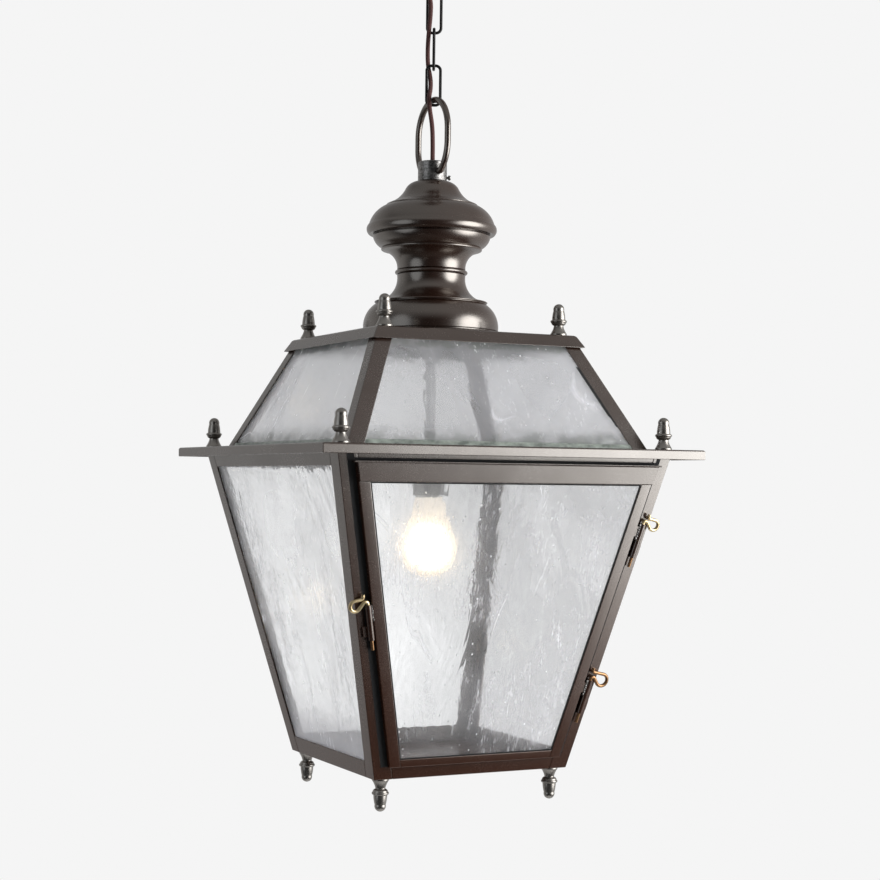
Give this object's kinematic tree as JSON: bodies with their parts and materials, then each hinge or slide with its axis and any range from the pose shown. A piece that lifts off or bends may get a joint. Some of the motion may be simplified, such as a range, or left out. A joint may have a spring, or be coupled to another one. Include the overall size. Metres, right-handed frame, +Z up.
{
  "type": "outdoor hanging lantern",
  "caption": "Tapered square hanging lantern with antique glass panes, a pinned door, a spun crown and a lit bulb, on a ring and chain below a ceiling canopy.",
  "frame": {"origin": "on the ceiling, at the centre of the bar that the canopy covers", "axes": "+Z up, away from the lantern; the door faces -Y; the chain hangs along -Z"},
  "size_m": [0.4, 0.4, 0.8559],
  "materials": {
    "bronze": "satin oil-rubbed bronze",
    "chain": "satin black",
    "nickel": "gunmetal plate",
    "brass": "aged brass",
    "glass": "antique seeded",
    "bulb": "frosted, lit",
    "bulb_base": "rolled screw cap",
    "holder": "moulded",
    "steel": "plated",
    "cord": "braided cover"
  },
  "bodies": {
    "canopy": {"ceiling_bar": "steel", "ceiling_canopy": "bronze", "canopy_loop": "chain", "cord_1": "cord"},
    "link_1": {"chain_link_1": "chain", "cord_2": "cord"},
    "link_2": {"chain_link_2": "chain", "cord_3": "cord"},
    "link_3": {"chain_link_3": "chain", "cord_4": "cord"},
    "ring": {"hanging_ring": "bronze", "cord_5": "cord"},
    "door": {"door_hinge_stile": "bronze", "door_latch_stile": "bronze", "door_bottom_rail": "bronze", "door_top_rail": "bronze", "door_pane": "glass", "door_knuckles": "bronze"},
    "latch_pin": {"latch_pin": "brass"},
    "hinge_pin_upper": {"hinge_pin_upper": "brass"},
    "hinge_pin_lower": {"hinge_pin_lower": "brass"},
    "bulb": {"bulb_cap": "bulb_base", "bulb_glass": "bulb"},
    "lantern": {"collar": "bronze", "crown_dome": "bronze", "crown_waist": "bronze", "crown_bowl": "bronze", "crown_cap": "bronze", "top_cap": "bronze", "hip_bar_front_left": "bronze", "hip_bar_front_right": "bronze", "hip_bar_back_right": "bronze", "hip_bar_back_left": "bronze", "roof_pane_front": "glass", "roof_pane_right": "glass", "roof_pane_back": "glass", "roof_pane_left": "glass", "brim": "bronze", "corner_post_front_left": "bronze", "corner_post_front_right": "bronze", "corner_post_back_right": "bronze", "corner_post_back_left": "bronze", "top_rail_front": "bronze", "bottom_rail_front": "bronze", "top_rail_right": "bronze", "bottom_rail_right": "bronze", "side_pane_right": "glass", "top_rail_back": "bronze", "bottom_rail_back": "bronze", "side_pane_back": "glass", "top_rail_left": "bronze", "bottom_rail_left": "bronze", "side_pane_left": "glass", "bottom_plate": "bronze", "post_knuckles": "bronze", "cap_finials": "nickel", "brim_finials": "nickel", "foot_finials": "nickel", "stem": "steel", "lampholder": "holder"}
  },
  "joints": [
    {"name": "link_1_swing", "type": "hinge", "parent": "canopy", "child": "link_1", "pos_m": [0, 0, -0.049], "axis": [-0.4384, -0.8988, 0], "range_deg": [-25, 25], "deforming": ["cord_1"]},
    {"name": "link_2_swing", "type": "hinge", "parent": "link_1", "child": "link_2", "pos_m": [0, 0, -0.0856], "axis": [0.8988, -0.4384, 0], "range_deg": [-25, 25], "deforming": ["cord_2"]},
    {"name": "link_3_swing", "type": "hinge", "parent": "link_2", "child": "link_3", "pos_m": [0, 0, -0.1227], "axis": [-0.4384, -0.8988, 0], "range_deg": [-25, 25], "deforming": ["cord_3"]},
    {"name": "ring_swing", "type": "hinge", "parent": "link_3", "child": "ring", "pos_m": [0, 0, -0.1598], "axis": [0.8988, -0.4384, 0], "range_deg": [-25, 25], "deforming": ["cord_4"]},
    {"name": "lantern_swing", "type": "hinge", "parent": "ring", "child": "lantern", "pos_m": [0, 0, -0.2292], "axis": [0, 1, 0], "range_deg": [-30, 30], "deforming": ["cord_5"]},
    {"name": "door_hinge", "type": "hinge", "parent": "lantern", "child": "door", "pos_m": [0.14815, -0.16025, -0.5994], "axis": [0.2237, -0.2237, 0.9487], "range_deg": [0, 110]},
    {"name": "latch_lift", "type": "slide", "parent": "door", "child": "latch_pin", "axis": [-0.2237, -0.2237, 0.9487], "range_m": [0, 0.03]},
    {"name": "hinge_pin_upper_lift", "type": "slide", "parent": "lantern", "child": "hinge_pin_upper", "axis": [0.2237, -0.2237, 0.9487], "range_m": [0, 0.045]},
    {"name": "hinge_pin_lower_lift", "type": "slide", "parent": "lantern", "child": "hinge_pin_lower", "axis": [0.2237, -0.2237, 0.9487], "range_m": [0, 0.045]},
    {"name": "bulb_turn", "type": "hinge", "parent": "lantern", "child": "bulb", "pos_m": [0, 0, -0.6119], "axis": [0, 0, 1], "continuous": true}
  ]
}
